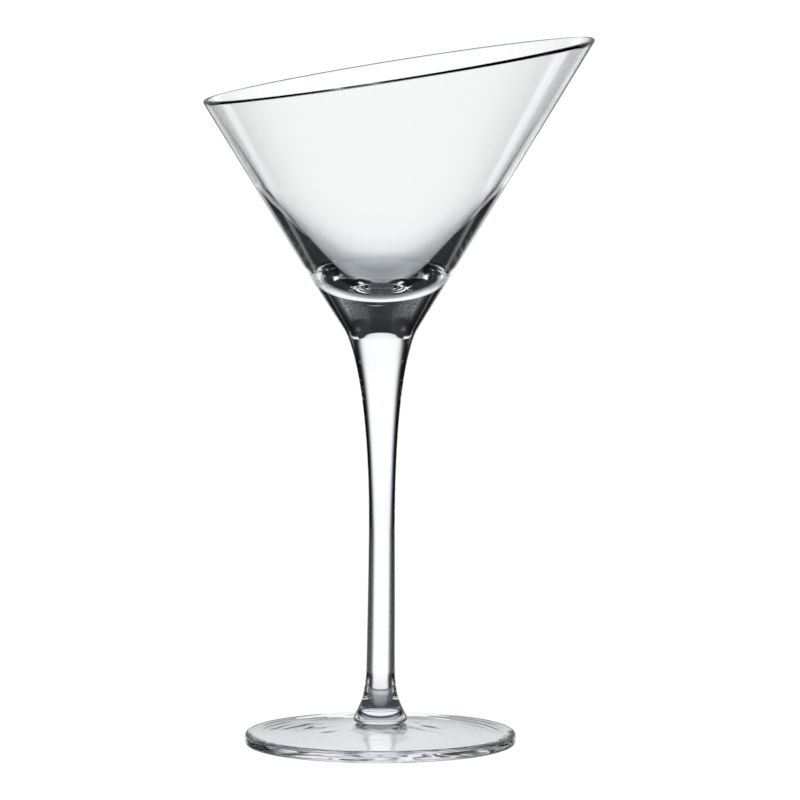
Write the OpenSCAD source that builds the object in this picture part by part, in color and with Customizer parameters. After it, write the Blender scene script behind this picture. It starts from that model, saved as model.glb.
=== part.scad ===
// Martini glass with a slanted rim: a blown bowl, a drawn stem and a cast foot.
// The bowl is welded into the cup of the stem, and the stem into the neck of the foot.
// Millimetres. The stem's axis is Z, the table is z = 0, and the rim is highest at +X.

/* [Overall] */
// Height of the highest point of the rim above the table
glass_h = 207.7; // [175:0.1:255]
// Width across the slanted mouth, from its lowest point to its highest
mouth_w = 115.2; // [95:0.1:142]
// How much lower the rim is on the low side
rim_drop = 18; // [0:0.5:25]

/* [Bowl] */
// Angle between the outside of the bowl and its axis
cone_angle = 31.4; // [26:0.1:40]
// Thickness of the wall at the highest point of the rim, measured square to it
wall_t = 1.4; // [1:0.1:2]
// Thickness of the wall where the solid bottom starts, measured square to it
wall_low_t = 2.3; // [1.6:0.1:3]
// Height above the weld at which the wall runs into the solid bottom
thick_h = 29; // [24:0.5:34]
// Depth of solid glass between the floor of the bowl and its rounded base
floor_t = 3.4; // [2:0.1:6]
// Radius of the round floor inside
floor_round = 21; // [17:0.5:23]
// Slope of the round floor at its outer edge
floor_angle = 45; // [38:0.5:50]
// How far the slope of the floor's edge carries on into the curve of the solid bottom
floor_pull = 9; // [5:0.5:11]
// How far the slope of the wall carries on into the same curve
wall_pull = 9; // [5:0.5:11]

/* [Weld of bowl and stem] */
// Diameter of the weld line on the outside
weld_d = 39; // [32:0.1:48]
// Depth of the rounded base of the bowl below the weld line
base_depth = 5; // [2:0.1:7]

/* [Stem] */
// Diameter at the waist, the thinnest place
waist_d = 7.7; // [6:0.1:8.3]
// Height of the waist above the table
waist_z = 64; // [45:0.5:75]
// Diameter of the shoulder, where the solid cone turns into the trumpet
shoulder_d = 21.8; // [18:0.1:28]
// Height from the shoulder up to the weld line
shoulder_drop = 13.6; // [8:0.1:18]
// Share of the trumpet's height over which it rises straight from the waist
trumpet_low = 0.72; // [0.3:0.01:0.8]
// Share of the trumpet's height over which it follows the solid cone
trumpet_high = 0.05; // [0.02:0.01:0.25]

/* [Weld of stem and foot] */
// Diameter of the weld line
neck_d = 9.7; // [8.1:0.1:12]
// Height of the weld line above the table
neck_z = 15.8; // [13:0.1:19]
// Depth of the rounded end of the stem below the weld line
end_depth = 1.6; // [0.5:0.1:2.5]
// Radius that the neck loses for each millimetre of height at the weld line
neck_slope = 0.15; // [0:0.01:0.3]
// Diameter of the stem where its flare begins
taper_d = 8.5; // [8.4:0.1:10]
// Height above the table where the flare of the stem begins
taper_z = 21.5; // [20:0.5:30]

/* [Foot] */
// Diameter of the foot
foot_d = 80; // [60:0.5:100]
// Height of the foot at its rim
foot_edge_h = 3.6; // [2.6:0.1:5]
// Radius of the rounding at the top of the foot's rim
edge_top_r = 1.2; // [0.4:0.1:1.6]
// Radius of the rounding at the bottom of the foot's rim
edge_low_r = 0.8; // [0.3:0.1:1]
// Width of the flat ring underneath that the foot rests on
rest_w = 2.2; // [1.5:0.1:6]
// Height of the hollow under the middle of the foot
hollow_h = 3; // [1:0.1:3.6]
// Slope of the hollow where it leaves the flat ring
hollow_angle = 6.5; // [4:0.5:8]
// Share of the hollow's half-width that is level in its middle
hollow_level = 0.2; // [0.1:0.05:0.4]
// Share of the hollow's half-width over which it keeps the slope of its edge
hollow_even = 0.5; // [0.3:0.05:0.7]
// Height of the foot where it meets the bead
crown_h = 6.6; // [5.4:0.1:7.4]
// Diameter across the bead
bead_d = 16; // [13:0.1:20]
// Radius of the bead's rounding
bead_round = 1; // [0.5:0.1:1.5]
// Angle round the bead between its widest line and the foot
bead_under = 64; // [20:1:80]
// Radius that the neck loses for each millimetre of height above the bead
bead_slope = 0.54; // [0.3:0.01:0.9]

/* [Hidden] */
$fn = 128;
STEPS = 16;    // short lines in a curve
REACH = 0.33;  // share of a plain curve's height that follows each of its end slopes
SPARE = 10;    // how far the cutting block stands past the bowl
GLASS = "lightblue";
CLEAR = 0.5;

// The outer cone: its slope and the height of the point that it springs from
cone_slope = tan(cone_angle);
apex_z = glass_h - rim_drop / 2 - mouth_w / 2 / cone_slope;
high_r = cone_slope * (glass_h - apex_z);

// The slanted cut: its tilt, and its height over the axis
rim_tilt = atan(rim_drop / mouth_w);
rim_mid_z = glass_h - high_r * tan(rim_tilt);

// The weld under the bowl, and the rounded base that the stem cups
weld_r = weld_d / 2;
weld_z = apex_z + weld_r / cone_slope;
base_z = weld_z - base_depth;

// The inside of the wall, from the solid bottom to the highest point of the rim
square_in = [-cos(cone_angle), sin(cone_angle)];
thick_z = weld_z + thick_h;
wall_low = [cone_slope * (thick_z - apex_z), thick_z] + wall_low_t * square_in;
wall_high = [high_r, glass_h] + wall_t * square_in;
wall_along = (wall_high - wall_low) / norm(wall_high - wall_low);

// The round floor inside: its middle, the way up from its edge, and the edge itself
floor_mid_z = base_z + floor_t + floor_round;
floor_along = [cos(floor_angle), sin(floor_angle)];
floor_edge = [floor_round * sin(floor_angle), floor_mid_z - floor_round * cos(floor_angle)];

// The stem's shoulder, trumpet, waist and lower taper
shoulder_r = shoulder_d / 2;
shoulder_z = weld_z - shoulder_drop;
shoulder_slope = (weld_r - shoulder_r) / shoulder_drop;
trumpet_h = shoulder_z - waist_z;
waist_r = waist_d / 2;
taper_r = taper_d / 2;
taper_h = taper_z - neck_z;

// The weld above the foot, and the foot's disc and bead
neck_r = neck_d / 2;
foot_r = foot_d / 2;
bead_r = bead_d / 2 - bead_round;
bead_z = crown_h + bead_round * sin(bead_under);
bead_over = atan(bead_slope);
neck_low_r = bead_r + bead_round * cos(bead_over);
neck_low_z = bead_z + bead_round * sin(bead_over);
neck_h = neck_z - neck_low_z;

// The hollow under the foot, from its middle out to the flat ring
rest_r = foot_r - edge_low_r - rest_w;
hollow_in = [-cos(hollow_angle), sin(hollow_angle)];

// A smooth curve from a to d that leaves a towards b and comes to d from c
function on_curve(a, b, c, d, t) =
    pow(1 - t, 3) * a + 3 * t * pow(1 - t, 2) * b + 3 * t * t * (1 - t) * c + pow(t, 3) * d;
function curve(a, b, c, d) = [for (i = [0 : STEPS]) on_curve(a, b, c, d, i / STEPS)];

// A round arc about m, from angle a0 to angle a1
function on_arc(m, r, a) = m + r * [cos(a), sin(a)];
function arc(m, r, a0, a1) = [for (i = [0 : STEPS]) on_arc(m, r, a0 + (a1 - a0) * i / STEPS)];

// A round face that hangs by depth below its edge at radius r and height z, from the axis out
function ball_r(r, depth) = (r * r + depth * depth) / (2 * depth);
function round_face(r, z, depth) =
    let (ball = ball_r(r, depth))
    arc([0, z - depth + ball], ball, -90, -90 + asin(r / ball));
function weld_face() = round_face(weld_r, weld_z, base_depth);
function neck_face() = round_face(neck_r, neck_z, end_depth);

function backwards(points) = [for (i = [len(points) - 1 : -1 : 0]) points[i]];
// An outline without its first point, to carry on from where the last one stopped
function onwards(points) = [for (i = [1 : len(points) - 1]) points[i]];

// The inside of the bowl, from the middle of its floor up to the wall
function cavity() = concat(
    arc([0, floor_mid_z], floor_round, -90, floor_angle - 90),
    onwards(curve(
        floor_edge,
        floor_edge + floor_pull * floor_along,
        wall_low - wall_pull * wall_along,
        wall_low
    ))
);

// The outside of the stem, from the lower weld line to the start of its flare
function stem_flare() = curve(
    [neck_r, neck_z],
    [neck_r, neck_z] + REACH * taper_h * [-neck_slope, 1],
    [taper_r, taper_z - REACH * taper_h],
    [taper_r, taper_z]
);

// The outside of the stem, from the waist to the shoulder
function trumpet() = curve(
    [waist_r, waist_z],
    [waist_r, waist_z + trumpet_low * trumpet_h],
    [shoulder_r, shoulder_z] - trumpet_high * trumpet_h * [shoulder_slope, 1],
    [shoulder_r, shoulder_z]
);

// The hollow under the foot, from its middle to the flat ring that it rests on
function hollow() = curve(
    [0, hollow_h],
    [hollow_level * rest_r, hollow_h],
    [rest_r, 0] + hollow_even * rest_r * hollow_in,
    [rest_r, 0]
);

// The outside of the foot's neck, from the bead to the weld line
function neck() = curve(
    [neck_low_r, neck_low_z],
    [neck_low_r, neck_low_z] + REACH * neck_h * [-bead_slope, 1],
    [neck_r, neck_z] - REACH * neck_h * [-neck_slope, 1],
    [neck_r, neck_z]
);

// The blown bowl, cut on a slant across its mouth
module bowl() {
    color(GLASS, CLEAR)
    difference() {
        rotate_extrude()
            polygon(concat(
                weld_face(),
                [[high_r, glass_h], wall_high],
                backwards(cavity())
            ));
        translate([0, 0, rim_mid_z])
            rotate([0, -rim_tilt, 0])
            translate([-mouth_w, -mouth_w, 0])
            cube([2 * mouth_w, 2 * mouth_w, rim_drop + SPARE]);
    }
}

// The drawn stem, dished at the top for the bowl and rounded at its lower end
module stem() {
    color(GLASS, CLEAR)
    rotate_extrude()
        polygon(concat(
            neck_face(),
            onwards(stem_flare()),
            trumpet(),
            backwards(weld_face())
        ));
}

// The cast foot, hollow underneath, with its bead and the neck that holds the stem
module foot() {
    color(GLASS, CLEAR)
    rotate_extrude()
        polygon(concat(
            hollow(),
            arc([foot_r - edge_low_r, edge_low_r], edge_low_r, -90, 0),
            arc([foot_r - edge_top_r, foot_edge_h - edge_top_r], edge_top_r, 0, 90),
            arc([bead_r, bead_z], bead_round, -bead_under, bead_over),
            onwards(neck()),
            onwards(backwards(neck_face()))
        ));
}

bowl();
stem();
foot();
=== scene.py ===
# %% [markdown]
# # A martini glass with a slanted rim
# The real glass is three pieces of hot glass: a blown bowl, a drawn stem and a cast foot. The
# CAD model fixes their sizes. This lesson gives them rounded lips, slightly uneven hand-made
# surfaces, real glass materials and the light that clear glass is usually shown in.

# %% Load the frame
import math

import bpy
import numpy as np
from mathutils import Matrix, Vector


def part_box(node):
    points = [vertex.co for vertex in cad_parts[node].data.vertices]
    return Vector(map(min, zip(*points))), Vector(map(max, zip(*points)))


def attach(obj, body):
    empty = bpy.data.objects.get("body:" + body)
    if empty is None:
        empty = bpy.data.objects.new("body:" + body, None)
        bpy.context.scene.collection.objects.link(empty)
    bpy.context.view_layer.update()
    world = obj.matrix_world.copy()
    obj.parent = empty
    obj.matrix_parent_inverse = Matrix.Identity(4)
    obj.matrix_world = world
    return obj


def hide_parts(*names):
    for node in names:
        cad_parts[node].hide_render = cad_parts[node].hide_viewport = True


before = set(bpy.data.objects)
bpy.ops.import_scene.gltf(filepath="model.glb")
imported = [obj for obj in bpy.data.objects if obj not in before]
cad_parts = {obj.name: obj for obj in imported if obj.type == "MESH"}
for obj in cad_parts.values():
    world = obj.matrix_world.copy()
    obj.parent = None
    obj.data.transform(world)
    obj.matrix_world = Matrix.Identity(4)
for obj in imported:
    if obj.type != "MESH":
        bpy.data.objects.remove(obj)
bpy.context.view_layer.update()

# %% [markdown]
# ## Sizes
# Every place comes from the boxes of the CAD nodes, so the pieces land where the CAD solids
# are. The bowl's outside is a cone, so two radii and two heights give its slope and its apex.
# The stem's box ends at the weld line under the bowl, and the foot's at the weld in its neck.

# %% Measure the frame
MM = 0.001
bowl_low, bowl_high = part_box("bowl")
stem_low, stem_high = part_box("stem")
foot_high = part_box("foot")[1]
glass_h = bowl_high.z
high_r = bowl_high.x
low_r = -bowl_low.x
weld_r = stem_high.x
weld_z = stem_high.z
base_depth = weld_z - bowl_low.z
neck_z = foot_high.z
end_depth = neck_z - stem_low.z
foot_r = foot_high.x
slope = (high_r - weld_r) / (glass_h - weld_z)
cone_angle = math.atan(slope)
apex_z = weld_z - weld_r / slope
rim_tilt = (glass_h - apex_z - low_r / slope) / (high_r + low_r)
rim_mid_z = glass_h - high_r * rim_tilt
print("cone", round(math.degrees(cone_angle), 2), "degrees, apex at", round(apex_z, 4))
print("rim tilt", round(math.degrees(math.atan(rim_tilt)), 2), "degrees")

# %% [markdown]
# ## Outlines
# A turned shape needs only a half outline: a list of points, each a radius and a height.
# Bezier curves and round arcs give outlines without corners, and glass shows every corner.

# %% Outline helpers
def bezier(a, b, c, d, count):
    """A curve from a to d that leaves towards b and comes in from c: the cubic Bezier formula."""
    t = np.linspace(0, 1, count)[:, None]
    a, b, c, d = (np.asarray(point, float) for point in (a, b, c, d))
    return (1 - t) ** 3 * a + 3 * t * (1 - t) ** 2 * b + 3 * t * t * (1 - t) * c + t ** 3 * d


def arc(middle, radius, start, end, count):
    """A round arc: the middle plus the radius times the cosine and sine of each angle."""
    angle = np.radians(np.linspace(start, end, count))
    return np.stack([middle[0] + radius * np.cos(angle), middle[1] + radius * np.sin(angle)], 1)


def line(a, b, count):
    """Evenly spaced points on a straight line."""
    return np.linspace(a, b, count)


def cap(radius, height, depth, count):
    """A ball's lowest part: an arc from the axis, depth below height, out to radius at height."""
    ball = (radius * radius + depth * depth) / (2 * depth)
    reach = math.degrees(math.asin(radius / ball))
    return arc((0, height - depth + ball), ball, -90, reach - 90, count)


def join(*parts):
    """One outline from several that follow on: each later one loses its doubled first point."""
    return np.concatenate([parts[0]] + [part[1:] for part in parts[1:]])


print("a cap of", len(cap(weld_r, weld_z, base_depth, 40)), "points is the weld's half outline")

# %% [markdown]
# ## Uneven hand-made surfaces
# Glass shaped by hand is never quite round or straight, and its refraction makes a hundredth
# of a millimetre visible. A few waves added together give such a surface: each wave goes a
# whole number of times round the piece, so it meets itself, and some distance along it.
# A noise modifier could do it too, but waves in the mesh are smooth at every scale.

# %% Ripples
AROUND = 256
WAVE_GROWTH = 1.2
turn = np.linspace(0, 2 * np.pi, AROUND, endpoint=False)[None, :]


def ripple(seed, along, radius, shortest, longest, height, count=24):
    """A sum of sine waves over the turn and the distance along the outline. Each has a random
    direction, a length between shortest and longest, and a height that grows with its length."""
    draw = np.random.default_rng(seed)
    total = np.zeros((len(along), AROUND))
    for _ in range(count):
        length = shortest * (longest / shortest) ** draw.random()
        way = draw.random() * 2 * np.pi
        rounds = round(2 * np.pi * radius / length * math.cos(way))
        phase = draw.random() * 2 * np.pi
        wave = np.sin(rounds * turn + 2 * np.pi * along / length * math.sin(way) + phase)
        total += (length / longest) ** WAVE_GROWTH * wave
    return height * total / math.sqrt(count / 2)


def distance_along(outline):
    """How far each point is along the outline, as a column."""
    steps = np.linalg.norm(np.diff(outline, axis=0), axis=1)
    return np.concatenate([[0], np.cumsum(steps)])[:, None]


sample = ripple(1, line(0, 0.05, 20)[:, None], weld_r, 4 * MM, 20 * MM, 0.02 * MM)
print("a ripple reaches", round(float(np.abs(sample).max()) / MM, 4), "mm")

# %% [markdown]
# ## From a grid to a mesh
# Each piece is a surface over two parameters: the place along its outline and the turn about
# its axis. The grid of radii and heights becomes a closed mesh with one point at each pole.
# Every row has its own material slot, so that a weld face can be told from the outside.

# %% Mesh builder
CREASE = math.radians(20)


def turned(name, radius, height, shift, slots, materials):
    """Turns the grid about Z: x = radius cos(turn) + shift, y = radius sin(turn), z = height.
    The first and last rows are the poles, and the faces between two rows are quads."""
    rows = len(radius)
    x = radius * np.cos(turn) + shift
    y = radius * np.sin(turn)
    z = height + 0 * x
    ring = np.stack([x, y, z], -1)[1:-1].reshape(-1, 3)
    poles = [[x[0, 0], 0, z[0, 0]], [x[-1, 0], 0, z[-1, 0]]]
    points = np.concatenate([ring, poles])
    rings = rows - 2
    low = np.arange(rings - 1)[:, None] * AROUND
    here = np.arange(AROUND)[None, :]
    there = (here + 1) % AROUND
    quads = np.stack([low + here, low + there, low + AROUND + there, low + AROUND + here], -1)
    first = np.full(AROUND, rings * AROUND)
    last = first + 1
    top = (rings - 1) * AROUND
    fan_low = np.stack([first, there[0], here[0]], -1)
    fan_high = np.stack([last, top + here[0], top + there[0]], -1)
    quads = quads.reshape(-1, 4)
    fans = np.concatenate([fan_low, fan_high])
    mesh = bpy.data.meshes.new(name)
    mesh.vertices.add(len(points))
    mesh.vertices.foreach_set("co", points.astype(np.float32).ravel())
    mesh.loops.add(quads.size + fans.size)
    corners = np.concatenate([quads.ravel(), fans.ravel()])
    mesh.loops.foreach_set("vertex_index", corners.astype(np.int32))
    mesh.polygons.add(len(quads) + len(fans))
    starts = np.concatenate([np.arange(len(quads)) * 4, quads.size + np.arange(len(fans)) * 3])
    mesh.polygons.foreach_set("loop_start", starts.astype(np.int32))
    mesh.update(calc_edges=True)
    mesh.validate()
    for material in materials:
        mesh.materials.append(material)
    slots = np.asarray(slots)
    ends = np.repeat([slots[0], slots[-1]], AROUND)
    face_slots = np.concatenate([np.repeat(slots[1:-1], AROUND), ends])
    mesh.polygons.foreach_set("material_index", face_slots.astype(np.int32))
    mesh.polygons.foreach_set("use_smooth", np.ones(len(face_slots), bool))
    mesh.set_sharp_from_angle(angle=CREASE)
    piece = bpy.data.objects.new(name, mesh)
    bpy.context.scene.collection.objects.link(piece)
    print(name, "has", len(mesh.polygons), "faces")
    return piece


print("each ring has", AROUND, "points")

# %% [markdown]
# ## Clear glass
# Glass is a Principled shader with full transmission and the index of refraction of soda-lime
# glass. What makes it look like worked glass is small: streaks where the gather was turned,
# a few seeds, which are tiny bubbles and pits, and a polish that is not quite even. They are
# bumps and roughness from noise on Object coordinates. An image could not follow three pieces
# without seams, so everything here is procedural. The tint is a plain socket value.

# %% Glass material
GLASS_IOR = 1.5
SEED_CELLS = 110
SEED_SIZE = 0.035
POLISH_SCALE = 60
POLISH_STARTS = 0.4
POLISH_ENDS = 0.8
STREAK_TWIST = 0.6


def glass(name, tint, streak_scale, stretch, streak_depth, seed_depth, dullest):
    """Transmitting Principled glass. Two bumps follow on: stretched noise for streaks, then a
    dent wherever a Voronoi cell's middle is close. A third noise sets the roughness."""
    material = bpy.data.materials.new(name)
    material.use_nodes = True
    nodes = material.node_tree.nodes
    wire = material.node_tree.links.new
    shader = nodes["Principled BSDF"]
    shader.inputs["Base Color"].default_value = tint
    shader.inputs["IOR"].default_value = GLASS_IOR
    shader.inputs["Transmission Weight"].default_value = 1
    place = nodes.new("ShaderNodeTexCoord")
    stretched = nodes.new("ShaderNodeMapping")
    stretched.inputs["Scale"].default_value = stretch
    wire(place.outputs["Object"], stretched.inputs["Vector"])
    streaks = nodes.new("ShaderNodeTexNoise")
    streaks.inputs["Scale"].default_value = streak_scale
    streaks.inputs["Detail"].default_value = 3
    streaks.inputs["Distortion"].default_value = STREAK_TWIST
    wire(stretched.outputs["Vector"], streaks.inputs["Vector"])
    streak_bump = nodes.new("ShaderNodeBump")
    streak_bump.inputs["Strength"].default_value = 1
    streak_bump.inputs["Distance"].default_value = streak_depth
    wire(streaks.outputs["Fac"], streak_bump.inputs["Height"])
    seeds = nodes.new("ShaderNodeTexVoronoi")
    seeds.inputs["Scale"].default_value = SEED_CELLS
    wire(place.outputs["Object"], seeds.inputs["Vector"])
    dent = nodes.new("ShaderNodeMapRange")
    dent.interpolation_type = "SMOOTHSTEP"
    dent.inputs["From Max"].default_value = SEED_SIZE
    wire(seeds.outputs["Distance"], dent.inputs["Value"])
    seed_bump = nodes.new("ShaderNodeBump")
    seed_bump.inputs["Strength"].default_value = 1
    seed_bump.inputs["Distance"].default_value = seed_depth
    wire(dent.outputs["Result"], seed_bump.inputs["Height"])
    wire(streak_bump.outputs["Normal"], seed_bump.inputs["Normal"])
    wire(seed_bump.outputs["Normal"], shader.inputs["Normal"])
    polish = nodes.new("ShaderNodeTexNoise")
    polish.inputs["Scale"].default_value = POLISH_SCALE
    polish.inputs["Detail"].default_value = 4
    wire(place.outputs["Object"], polish.inputs["Vector"])
    gloss = nodes.new("ShaderNodeMapRange")
    gloss.inputs["From Min"].default_value = POLISH_STARTS
    gloss.inputs["From Max"].default_value = POLISH_ENDS
    gloss.inputs["To Max"].default_value = dullest
    wire(polish.outputs["Fac"], gloss.inputs["Value"])
    wire(gloss.outputs["Result"], shader.inputs["Roughness"])
    print(name, "has", len(nodes), "nodes")
    return material


BLOWN_TINT = (0.994, 0.996, 0.998, 1)
DRAWN_TINT = (0.962, 0.968, 0.976, 1)
CAST_TINT = (0.840, 0.855, 0.880, 1)
blown_glass = glass("blown_glass", BLOWN_TINT, 40, (1, 1, 0.35), 0.006 * MM, 0.06 * MM, 0.015)
drawn_glass = glass("drawn_glass", DRAWN_TINT, 90, (1, 1, 0.06), 0.003 * MM, 0.04 * MM, 0.015)
cast_glass = glass("cast_glass", CAST_TINT, 70, (1, 1, 1), 0.015 * MM, 0.06 * MM, 0.03)
moulded_glass = glass("moulded_glass", CAST_TINT, 70, (1, 1, 1), 0.015 * MM, 0.06 * MM, 0.10)

# %% [markdown]
# ## Welds
# Where two pieces were joined hot there is no air between them, so light crosses without
# bending. Each piece is still a closed mesh of its own. The two faces of a weld lie on each
# other and are made of a Transparent shader, which lets the ray pass as if they weren't there.

# %% Weld material
def pass_through(name):
    """A material that is only a Transparent shader."""
    material = bpy.data.materials.new(name)
    material.use_nodes = True
    nodes = material.node_tree.nodes
    nodes.clear()
    result = nodes.new("ShaderNodeOutputMaterial")
    clear = nodes.new("ShaderNodeBsdfTransparent")
    material.node_tree.links.new(clear.outputs["BSDF"], result.inputs["Surface"])
    return material


weld_clear = pass_through("weld_clear")
print("weld faces use", weld_clear.name)

# %% [markdown]
# The weld under the bowl shows on the outside as a fine wavering groove. Bowl and stem share
# it, so one function gives its depth at any turn and height, and both meshes use it. Its rows
# are closer together than the rest, because the groove is only half a millimetre wide.

# %% Weld groove
GROOVE_DEPTH = 0.016 * MM
GROOVE_WIDTH = 0.3 * MM
GROOVE_WANDER = 0.22 * MM
GROOVE_REACH = 1.6 * MM
GROOVE_ROWS = 18
WELD_FACE_ROWS = 40
here = np.zeros((1, 1))
groove_line = weld_z + ripple(11, here, weld_r, 3 * MM, 30 * MM, GROOVE_WANDER)
groove_force = 0.3 + ripple(12, here, weld_r, 2 * MM, 12 * MM, 1.2)
groove_swell = ripple(13, here, weld_r, 2 * MM, 9 * MM, 1.5)


def groove(height):
    """A dent or a ridge in the shape of a bell curve about the wavering weld line. How deep it
    is, and how far it leans to one side of the line, changes round the weld."""
    off = (height - groove_line) / GROOVE_WIDTH
    return -GROOVE_DEPTH * (groove_force + groove_swell * off) * np.exp(-off * off)


weld_face = cap(weld_r, weld_z, base_depth, WELD_FACE_ROWS)
print("the weld line wanders", round(float(np.ptp(groove_line)) / MM, 2), "mm up and down")

# %% [markdown]
# ## Bowl
# The bowl is blown in one go with its thick solid bottom, and the rim is cut on a slant and
# melted round in a flame. The outside is a true cone. The inside is a cone that runs into a
# round floor. A cut cone could be made with a boolean, but here each column of the grid simply
# stops where the slanted plane meets the cone, so the rim is exact and the lip stays smooth.

# %% Bowl sizes
WALL_HIGH = 1.4 * MM
WALL_LOW = 2.3 * MM
THICK_H = 29 * MM
FLOOR_T = 3.4 * MM
FLOOR_ROUND = 21 * MM
FLOOR_ANGLE = 45
FLOOR_PULL = 9 * MM
WALL_PULL = 9 * MM
OUTSIDE_ROWS = 80
LIP_ROWS = 20
INSIDE_ROWS = 50
LIP_DROP = 1.2
square_out = np.array([math.cos(cone_angle), -math.sin(cone_angle)])
up_wall = np.array([math.sin(cone_angle), math.cos(cone_angle)])
thick_z = weld_z + THICK_H
wall_low = np.array([slope * (thick_z - apex_z), thick_z]) - WALL_LOW * square_out
wall_high = np.array([high_r, glass_h]) - WALL_HIGH * square_out
wall_along = (wall_high - wall_low) / np.linalg.norm(wall_high - wall_low)
floor_mid_z = bowl_low.z + FLOOR_T + FLOOR_ROUND
print("the floor inside is", round((floor_mid_z - FLOOR_ROUND) / MM, 2), "mm above the table")

# %% Bowl outlines
floor = arc((0, floor_mid_z), FLOOR_ROUND, -90, FLOOR_ANGLE - 90, 50)
floor_way = np.array([math.cos(math.radians(FLOOR_ANGLE)), math.sin(math.radians(FLOOR_ANGLE))])
pull_low = floor[-1] + FLOOR_PULL * floor_way
pull_high = wall_low - WALL_PULL * wall_along
cavity = join(floor, bezier(floor[-1], pull_low, pull_high, wall_low, 60))
rim_r = slope * (rim_mid_z - apex_z) / (1 - slope * rim_tilt * np.cos(turn))
rim_z = apex_z + rim_r / slope
lip_r = WALL_HIGH / 2
lip_z = rim_z - LIP_DROP * lip_r
lip_out_r = slope * (lip_z - apex_z)
print("lip radius", round(lip_r / MM, 2), "mm")

# %% Bowl surface
def between(start_r, start_z, end_r, end_z, share):
    """Straight lines from a start to an end for every turn: start plus share of the way."""
    share = share[:, None]
    return start_r + (end_r - start_r) * share, start_z + (end_z - start_z) * share


near = np.linspace(0, GROOVE_REACH, GROOVE_ROWS)[1:, None]
near_r = weld_r + slope * near + 0 * turn
near_z = weld_z + near + 0 * turn
far_share = np.linspace(0, 1, OUTSIDE_ROWS)[1:]
outer_r, outer_z = between(near_r[-1:], near_z[-1:], lip_out_r, lip_z, far_share)
outer_r = np.concatenate([near_r, outer_r])
outer_z = np.concatenate([near_z, outer_z])
bend = np.linspace(0, np.pi, LIP_ROWS)[1:-1, None]
across = np.cos(bend)
over = np.sin(bend)
lip_mid_r = lip_out_r - lip_r * square_out[0]
lip_mid_z = lip_z - lip_r * square_out[1]
round_r = lip_mid_r + lip_r * (square_out[0] * across + up_wall[0] * over)
round_z = lip_mid_z + lip_r * (square_out[1] * across + up_wall[1] * over)
inner_top_r = lip_out_r - 2 * lip_r * square_out[0]
inner_top_z = lip_z - 2 * lip_r * square_out[1]
down_share = np.linspace(0, 1, INSIDE_ROWS)[:-1]
inner_r, inner_z = between(inner_top_r, inner_top_z, wall_low[0], wall_low[1], down_share)
even = np.ones((1, AROUND))
down = cavity[::-1]
bowl_r = np.concatenate([weld_face[:, :1] * even, outer_r, round_r, inner_r, down[:, :1] * even])
bowl_z = np.concatenate([weld_face[:, 1:] * even, outer_z, round_z, inner_z, down[:, 1:] * even])
print("the bowl's grid is", bowl_r.shape[0], "rows of", bowl_r.shape[1])

# %% [markdown]
# The ripples and the groove go in along the radius. They fade out at the weld face, so that it
# still fits the stem, and at the two poles. The lip is left round, as the flame leaves it.

# %% Bowl unevenness
BOWL_RIPPLE = 0.007 * MM
FINE_RIPPLE = 0.0012 * MM
POLE_FADE = 8
first_out = len(weld_face)
first_lip = first_out + len(outer_r)
first_in = first_lip + len(round_r)
run = distance_along(np.stack([bowl_r.mean(1), bowl_z.mean(1)], 1))
swell = ripple(21, run, high_r, 9 * MM, 60 * MM, BOWL_RIPPLE)
swell += ripple(22, run, weld_r, 2.5 * MM, 8 * MM, FINE_RIPPLE)
fade = np.zeros((len(bowl_r), 1))
fade[first_out:first_lip, 0] = np.clip(np.arange(len(outer_r)) / GROOVE_ROWS, 0, 1)
fade[first_in:, 0] = np.clip(np.linspace(POLE_FADE, 0, len(bowl_r) - first_in), 0, 1)
bowl_r = bowl_r + fade * swell
bowl_r[first_out - 1:first_lip] += groove(bowl_z[first_out - 1:first_lip])
bowl_slots = np.zeros(len(bowl_r) - 1, int)
bowl_slots[:first_out - 1] = 1
bowl_piece = turned("bowl_glass", bowl_r, bowl_z, 0, bowl_slots, [blown_glass, weld_clear])

# %% [markdown]
# ## Stem
# The stem is drawn out of a hot gather, so it is thinnest at a waist, widens to a trumpet and
# takes the bowl's base in a shallow cup. Drawing leaves faint lengthwise ripples, and a stem
# made by hand is a little bowed. Two Bezier curves give the outline with level tangents.

# %% Stem outline
WAIST_R = 3.85 * MM
WAIST_Z = 64 * MM
SHOULDER_R = 10.9 * MM
SHOULDER_DROP = 13.6 * MM
TRUMPET_LOW = 0.72
TRUMPET_HIGH = 0.05
NECK_R = 4.85 * MM
NECK_SLOPE = 0.15
TAPER_R = 4.25 * MM
TAPER_Z = 21.5 * MM
REACH = 0.33
shoulder_z = weld_z - SHOULDER_DROP
shoulder_slope = (weld_r - SHOULDER_R) / SHOULDER_DROP
trumpet_h = shoulder_z - WAIST_Z
taper_h = TAPER_Z - neck_z
neck_face = cap(NECK_R, neck_z, end_depth, 20)
flare_low = (NECK_R - REACH * taper_h * NECK_SLOPE, neck_z + REACH * taper_h)
flare_high = (TAPER_R, TAPER_Z - REACH * taper_h)
flare = bezier((NECK_R, neck_z), flare_low, flare_high, (TAPER_R, TAPER_Z), 24)
trumpet_pull = TRUMPET_HIGH * trumpet_h
trumpet_top = (SHOULDER_R - trumpet_pull * shoulder_slope, shoulder_z - trumpet_pull)
trumpet_foot = (WAIST_R, WAIST_Z + TRUMPET_LOW * trumpet_h)
trumpet = bezier((WAIST_R, WAIST_Z), trumpet_foot, trumpet_top, (SHOULDER_R, shoulder_z), 130)
under_groove = (weld_r - shoulder_slope * GROOVE_REACH, weld_z - GROOVE_REACH)
taper = line(flare[-1], trumpet[0], 40)
cone = join(line(trumpet[-1], under_groove, 16), line(under_groove, (weld_r, weld_z), GROOVE_ROWS))
stem_side = join(flare, taper, trumpet, cone)
stem_outline = join(neck_face, stem_side, weld_face[::-1])
print("the stem's outline has", len(stem_outline), "points")

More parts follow.
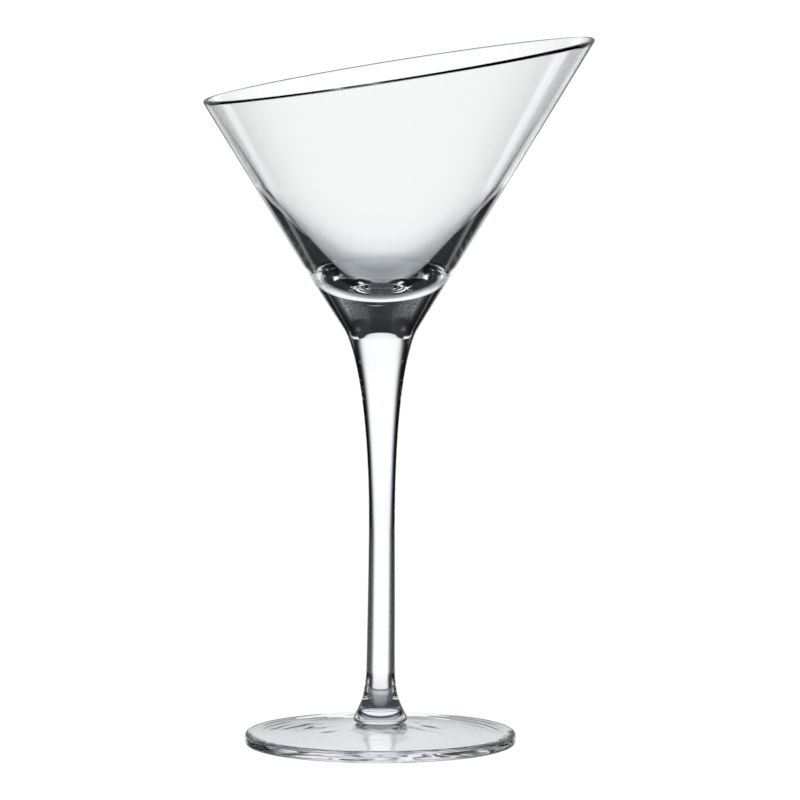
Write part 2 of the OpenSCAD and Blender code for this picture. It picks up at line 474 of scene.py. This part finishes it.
# %% Stem surface
STEM_RIPPLE = 0.005 * MM
STEM_BOW = 0.5 * MM
DRAWN_OUT = 12
side_start = len(neck_face) - 1
side_end = side_start + len(stem_side)
stem_r = stem_outline[:, :1] * even
stem_z = stem_outline[:, 1:] * even
run = distance_along(stem_outline)
share = np.clip((stem_outline[:, 1:] - neck_z) / (weld_z - neck_z), 0, 1)
on_side = np.zeros((len(stem_r), 1))
on_side[side_start:side_end] = 1
ease = np.sin(np.pi * share) * on_side
drawn = ripple(31, run / DRAWN_OUT, WAIST_R, 3 * MM, 9 * MM, STEM_RIPPLE, 12)
stem_r = stem_r + ease * (drawn + ripple(32, run, WAIST_R, 5 * MM, 40 * MM, STEM_RIPPLE))
stem_r[side_start:side_end] += groove(stem_z[side_start:side_end])
stem_slots = np.zeros(len(stem_r) - 1, int)
stem_slots[:side_start] = 1
stem_slots[side_end - 1:] = 1
bow = STEM_BOW * ease
stem_piece = turned("stem_glass", stem_r, stem_z, bow, stem_slots, [drawn_glass, weld_clear])

# %% [markdown]
# ## Foot
# The foot is pressed from soft glass and spun out, so it slopes up to a bead round the stem's
# end, is hollow underneath and rests on a flat ring. Its faces are the most uneven of the three,
# which is what gives a real foot its streaks and sparkle.

# %% Foot outline
EDGE_H = 3.6 * MM
EDGE_TOP_R = 1.2 * MM
EDGE_LOW_R = 0.8 * MM
REST_W = 2.2 * MM
HOLLOW_H = 3.0 * MM
HOLLOW_ANGLE = math.radians(6.5)
HOLLOW_LEVEL = 0.2
HOLLOW_EVEN = 0.5
CROWN_H = 6.6 * MM
BEAD_ROUND = 1.0 * MM
BEAD_R = 7.0 * MM
BEAD_UNDER = 64
BEAD_SLOPE = 0.54
rest_out_r = foot_r - EDGE_LOW_R
rest_in_r = rest_out_r - REST_W
hollow_way = np.array([-math.cos(HOLLOW_ANGLE), math.sin(HOLLOW_ANGLE)])
rest_in = np.array([rest_in_r, 0])
hollow_pull = rest_in + HOLLOW_EVEN * rest_in_r * hollow_way
hollow = bezier((0, HOLLOW_H), (HOLLOW_LEVEL * rest_in_r, HOLLOW_H), hollow_pull, rest_in, 70)
edge_low = arc((rest_out_r, EDGE_LOW_R), EDGE_LOW_R, -90, 0, 14)
edge_top = arc((foot_r - EDGE_TOP_R, EDGE_H - EDGE_TOP_R), EDGE_TOP_R, 0, 90, 18)
bead_z = CROWN_H + BEAD_ROUND * math.sin(math.radians(BEAD_UNDER))
bead_over = math.degrees(math.atan(BEAD_SLOPE))
bead = arc((BEAD_R, bead_z), BEAD_ROUND, -BEAD_UNDER, bead_over, 24)
top = line(edge_top[-1], bead[0], 70)
neck_h = neck_z - bead[-1, 1]
neck_low = bead[-1] + REACH * neck_h * np.array([-BEAD_SLOPE, 1])
neck_high = (NECK_R + REACH * neck_h * NECK_SLOPE, neck_z - REACH * neck_h)
neck = bezier(bead[-1], neck_low, neck_high, (NECK_R, neck_z), 50)
ring = line(rest_in, edge_low[0], 5)
side = line(edge_low[-1], edge_top[0], 6)
foot_side = join(hollow, ring, edge_low, side, edge_top, top, bead, neck)
foot_outline = join(foot_side, neck_face[::-1])
print("the foot's outline has", len(foot_outline), "points")

# %% [markdown]
# The foot's top and its hollow ripple up and down, so these waves go into the heights. They
# fade out on the flat ring, which has to stay flat to stand, and above the bead. The outer
# edge gets a slow ripple in its radius.

# %% Foot surface
TOP_RIPPLE = 0.080 * MM
HOLLOW_RIPPLE = 0.035 * MM
EDGE_RIPPLE = 0.020 * MM
TOP_FADE_ROWS = 9
HOLLOW_FADE = 0.5
wave_r = 0.6 * foot_r
foot_r_grid = foot_outline[:, :1] * even
foot_z_grid = foot_outline[:, 1:] * even
run = distance_along(foot_outline)
rows = np.arange(len(foot_outline))[:, None]
hollow_end = len(hollow) - 1
edge_start = hollow_end + len(ring) - 1
edge_end = edge_start + len(edge_low) + len(side) + len(edge_top) - 3
top_end = edge_end + len(top) - 1
in_hollow = np.sin(np.pi * np.clip(rows / hollow_end, 0, 1)) ** HOLLOW_FADE
on_top = np.clip((rows - edge_end) / TOP_FADE_ROWS + 1, 0, 1)
on_top = on_top * np.clip((top_end - rows) / TOP_FADE_ROWS, 0, 1)
on_edge = np.sin(np.pi * np.clip((rows - edge_start) / (edge_end - edge_start), 0, 1))
top_waves = ripple(41, run, wave_r, 5 * MM, 34 * MM, TOP_RIPPLE, 36)
hollow_waves = ripple(42, run, wave_r, 5 * MM, 30 * MM, HOLLOW_RIPPLE, 30)
foot_z_grid = foot_z_grid + on_top * top_waves + in_hollow * hollow_waves
foot_r_grid = foot_r_grid + on_edge * ripple(43, run, foot_r, 3 * MM, 40 * MM, EDGE_RIPPLE)
foot_slots = np.zeros(len(foot_outline) - 1, int)
foot_slots[len(foot_side) - 1:] = 1
foot_slots[:hollow_end] = 2
foot_grids = (foot_r_grid, foot_z_grid)
foot_finishes = [cast_glass, weld_clear, moulded_glass]
foot_piece = turned("foot_glass", *foot_grids, 0, foot_slots, foot_finishes)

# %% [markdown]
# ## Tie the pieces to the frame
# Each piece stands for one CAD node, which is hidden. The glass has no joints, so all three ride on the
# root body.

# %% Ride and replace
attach(bowl_piece, "root")
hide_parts("bowl")
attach(stem_piece, "root")
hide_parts("stem")
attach(foot_piece, "root")
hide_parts("foot")
print("three pieces ride on the root body")

# %% [markdown]
# ## Camera
# A long lens from two metres away keeps the foot's and the rim's ellipses flat, and the camera
# looks down a little, so that the foot's top and the rim's far side both show.

# %% Camera
CAMERA_PLACE = (0.0058, -1.958, 0.2973)
CAMERA_DOWN = math.radians(5.705)
camera_data = bpy.data.cameras.new("camera")
camera_data.sensor_width = 36
camera_data.lens = 301.7
camera_data.clip_start = 0.05
camera_data.clip_end = 50
camera = bpy.data.objects.new("camera", camera_data)
camera.location = CAMERA_PLACE
camera.rotation_euler = (math.pi / 2 - CAMERA_DOWN, 0, 0)
bpy.context.scene.collection.objects.link(camera)
bpy.context.scene.camera = camera
print("the camera is", round(math.hypot(CAMERA_PLACE[1], CAMERA_PLACE[2]), 3), "m away")

# %% [markdown]
# ## Table
# A plain pale disc just under the foot. It glows a little, as a lit sweep of white paper does.
# Glass rays don't see it: the light behind the glass already goes on below the horizon, and a
# second bright surface would wash out the dark edges that draw the stem.

# %% Table
TABLE_R = 6.0
TABLE_GAP = 0.2 * MM


def disc(name, radius, height, count=128):
    """One flat many-sided face: radius times the cosine and sine of even angles."""
    angle = np.linspace(0, 2 * np.pi, count, endpoint=False)
    flat = np.stack([radius * np.cos(angle), radius * np.sin(angle), 0 * angle + height], 1)
    mesh = bpy.data.meshes.new(name)
    mesh.from_pydata(flat.tolist(), [], [list(range(count))])
    mesh.update()
    thing = bpy.data.objects.new(name, mesh)
    bpy.context.scene.collection.objects.link(thing)
    return thing


table = disc("table", TABLE_R, -TABLE_GAP)
paper = bpy.data.materials.new("white_paper")
paper.use_nodes = True
paper_shader = paper.node_tree.nodes["Principled BSDF"]
paper_shader.inputs["Base Color"].default_value = (0.3, 0.3, 0.3, 1)
paper_shader.inputs["Roughness"].default_value = 1
paper_shader.inputs["Specular IOR Level"].default_value = 0
paper_shader.inputs["Emission Color"].default_value = (1, 1, 1, 1)
paper_shader.inputs["Emission Strength"].default_value = 1
table.data.materials.append(paper)
table.visible_transmission = False
table.visible_glossy = False
print("table at", -TABLE_GAP / MM, "mm")

# %% [markdown]
# ## Light
# Clear glass is photographed in bright field: one soft white screen straight behind it and
# near darkness elsewhere. What the glass bends towards the screen is white, and what it bends
# past the screen's edges is black, which draws the outline. The screen is painted on a large
# glowing ball by direction: sideways from the middle of the screen, and up from the horizon.
# The ball stands still. Smaller screens stand on it at the sides, low on the diagonals and at
# the rear, so that the glass is lit through from there too. They leave dark gaps, because a
# screen there would shine into the dark edges that the main screen draws. A view from a gap
# or from high above has no screen behind the glass and shows it nearly black.

# %% Light by direction
# Degrees above the horizon, and how bright the main screen is there
SCREEN_UP = np.array([
    [-90, 0.08], [-70, 0.08], [-60, 0.12], [-50, 0.18], [-40, 0.27], [-35, 0.33],
    [-30, 0.45], [-25, 0.62], [-20, 0.92], [-15, 1.08], [-10, 1.1], [90, 1.1],
])
# Degrees above the horizon, and half of the main screen's width there in degrees
SCREEN_HALF = np.array([
    [-90, 16], [-40, 18], [-25, 20], [-15, 22], [-10, 24.5], [-8.5, 26], [-6.5, 29],
    [-4, 32], [0, 33], [10, 32], [90, 32],
])
SCREEN_TOP = 41.8
SCREEN_TOP_SOFT = 0.6
SCREEN_SIDE_SOFT = 0.09
ROOM_DARK = 0.0015
ROOM_SIDE = 0.022
ROOM_SIDE_FROM = 76
ROOM_SIDE_SOFT = 5
ROOM_ABOVE = 0.016
ROOM_ABOVE_FROM = 42
ROOM_ABOVE_SOFT = 1
ROOM_BELOW = 0.05
ROOM_BELOW_FROM = -24
ROOM_BELOW_SOFT = 4
ROOM_BELOW_ASIDE = 30


def rise(x, start, width):
    """A smooth step from 0 to 1 about start: one over one plus e to the minus x over width."""
    return 1 / (1 + np.exp(np.clip(-(x - start) / width, -50, 50)))


# Nearest and furthest sideways, lowest and highest, all in degrees
OTHER_SCREENS = {
    "side and rear": (79, 200, -25, -10),
    "side": (81, 99, -12, 8),
    "low diagonal": (40.5, 50, -30.5, -20),
}
OTHER_GLOW = 1.1
OTHER_SOFT = 0.8
LESS_RED = 0.09
MORE_BLUE = 0.08


def band(value, low, high, soft):
    """Rises from 0 to 1 at low and falls back at high."""
    return rise(value, low, soft) * (1 - rise(value, high, soft))


def light_at(sideways, upwards):
    """The screen is its brightness by height times its fade at the sides and the top. The dim
    room adds a little from far to either side, from above the screen and from below it. The
    other screens are boxes with soft edges, and the brightest one shows."""
    screen = np.interp(upwards, SCREEN_UP[:, 0], SCREEN_UP[:, 1])
    screen = screen * (1 - rise(upwards, SCREEN_TOP, SCREEN_TOP_SOFT))
    half = np.interp(upwards, SCREEN_HALF[:, 0], SCREEN_HALF[:, 1])
    aside = np.abs(sideways)
    screen = screen * (1 - rise(aside / half, 1, SCREEN_SIDE_SOFT))
    side = ROOM_SIDE * rise(aside, ROOM_SIDE_FROM, ROOM_SIDE_SOFT)
    above = ROOM_ABOVE * rise(upwards, ROOM_ABOVE_FROM, ROOM_ABOVE_SOFT)
    below = ROOM_BELOW * (1 - rise(upwards, ROOM_BELOW_FROM, ROOM_BELOW_SOFT))
    below = below * rise(aside, ROOM_BELOW_ASIDE, ROOM_SIDE_SOFT)
    lit = screen
    for near, far, low, high in OTHER_SCREENS.values():
        other = band(aside, near, far, OTHER_SOFT) * band(upwards, low, high, OTHER_SOFT)
        lit = np.maximum(lit, OTHER_GLOW * other)
    return lit + side + above + below + ROOM_DARK


def cool(brightness):
    """Colours the light: the dimmer it is beside the full screen, the less red and more blue."""
    dim = 1 - np.clip(brightness / SCREEN_UP[:, 1].max(), 0, 1)
    red = brightness * (1 - LESS_RED * dim)
    blue = brightness * (1 + MORE_BLUE * dim)
    return np.stack([red, brightness, blue, 1 + 0 * dim], -1)


print("straight behind", round(float(light_at(0, 0)), 3), "and aside", round(float(light_at(50, 0)), 4))

# %% Studio ball
BALL_R = 3.0
BALL_MIDDLE = (0, 0, 0.1)
BALL_AROUND = 360
BALL_ROWS = 361
ball_turn = np.linspace(0, 2 * np.pi, BALL_AROUND, endpoint=False)[None, :]
ball_up = np.radians(np.linspace(-90, 90, BALL_ROWS))[:, None]
ball_x = np.cos(ball_up) * np.sin(ball_turn)
ball_y = np.cos(ball_up) * np.cos(ball_turn)
ball_z = np.sin(ball_up) + 0 * ball_turn
way_out = np.stack([ball_x, ball_y, ball_z], -1).reshape(-1, 3)
low = np.arange(BALL_ROWS - 1)[:, None] * BALL_AROUND
high = low + BALL_AROUND
here = np.arange(BALL_AROUND)[None, :]
there = (here + 1) % BALL_AROUND
inward = np.stack([low + here, high + here, high + there, low + there], -1)
ball_mesh = bpy.data.meshes.new("studio")
ball_mesh.from_pydata((BALL_R * way_out).tolist(), [], inward.reshape(-1, 4).tolist())
sideways = np.degrees(np.arctan2(way_out[:, 0], way_out[:, 1]))
upwards = np.degrees(np.arcsin(np.clip(way_out[:, 2], -1, 1)))
glow = light_at(sideways, upwards)
paint = ball_mesh.color_attributes.new("light", "FLOAT_COLOR", "POINT")
paint.data.foreach_set("color", cool(glow).astype(np.float32).ravel())
ball_light = bpy.data.materials.new("studio_light")
ball_light.use_nodes = True
ball_nodes = ball_light.node_tree.nodes
ball_nodes.clear()
shown = ball_nodes.new("ShaderNodeOutputMaterial")
emit = ball_nodes.new("ShaderNodeEmission")
painted = ball_nodes.new("ShaderNodeVertexColor")
painted.layer_name = "light"
ball_light.node_tree.links.new(painted.outputs["Color"], emit.inputs["Color"])
ball_light.node_tree.links.new(emit.outputs["Emission"], shown.inputs["Surface"])
ball_mesh.materials.append(ball_light)
studio = bpy.data.objects.new("studio", ball_mesh)
studio.location = BALL_MIDDLE
bpy.context.scene.collection.objects.link(studio)
print("the studio ball has", len(ball_mesh.polygons), "faces")

# %% [markdown]
# The foot's top mirrors whatever stands low behind it, and a mirror of the full screen would
# wash its ripples out. So a grey card stands there. Only mirrored rays see it, so it doesn't
# show behind the glass or through it.

# %% Grey card
CARD_AWAY = 1.0
CARD_HALF = 1.2
CARD_TOP = 0.45
CARD_GLOW = 0.34
card_corners = [
    (-CARD_HALF, CARD_AWAY, 0), (CARD_HALF, CARD_AWAY, 0),
    (CARD_HALF, CARD_AWAY, CARD_TOP), (-CARD_HALF, CARD_AWAY, CARD_TOP),
]
card_mesh = bpy.data.meshes.new("grey_card")
card_mesh.from_pydata(card_corners, [], [(0, 1, 2, 3)])
card_paper = paper.copy()
card_paper.name = "grey_paper"
card_shader = card_paper.node_tree.nodes["Principled BSDF"]
card_shader.inputs["Base Color"].default_value = (0, 0, 0, 1)
card_shader.inputs["Emission Strength"].default_value = CARD_GLOW
card_mesh.materials.append(card_paper)
card = bpy.data.objects.new("grey_card", card_mesh)
bpy.context.scene.collection.objects.link(card)
card.visible_camera = False
card.visible_diffuse = False
card.visible_transmission = False
print("the card is", CARD_TOP, "m high")

# %% [markdown]
# ## Colour and bounces
# The Standard view shows the white screen as plain white. Inside solid glass a ray may be
# reflected many times before it leaves, and Blender counts each as a glossy bounce, so the
# limits are raised. With the usual ones the solid bottom would turn black in the wrong places.

# %% Colour and bounces
scene = bpy.context.scene
scene.view_settings.view_transform = "Standard"
scene.cycles.max_bounces = 32
scene.cycles.transmission_bounces = 32
scene.cycles.glossy_bounces = 24
scene.cycles.transparent_max_bounces = 32
print("up to", scene.cycles.max_bounces, "bounces")
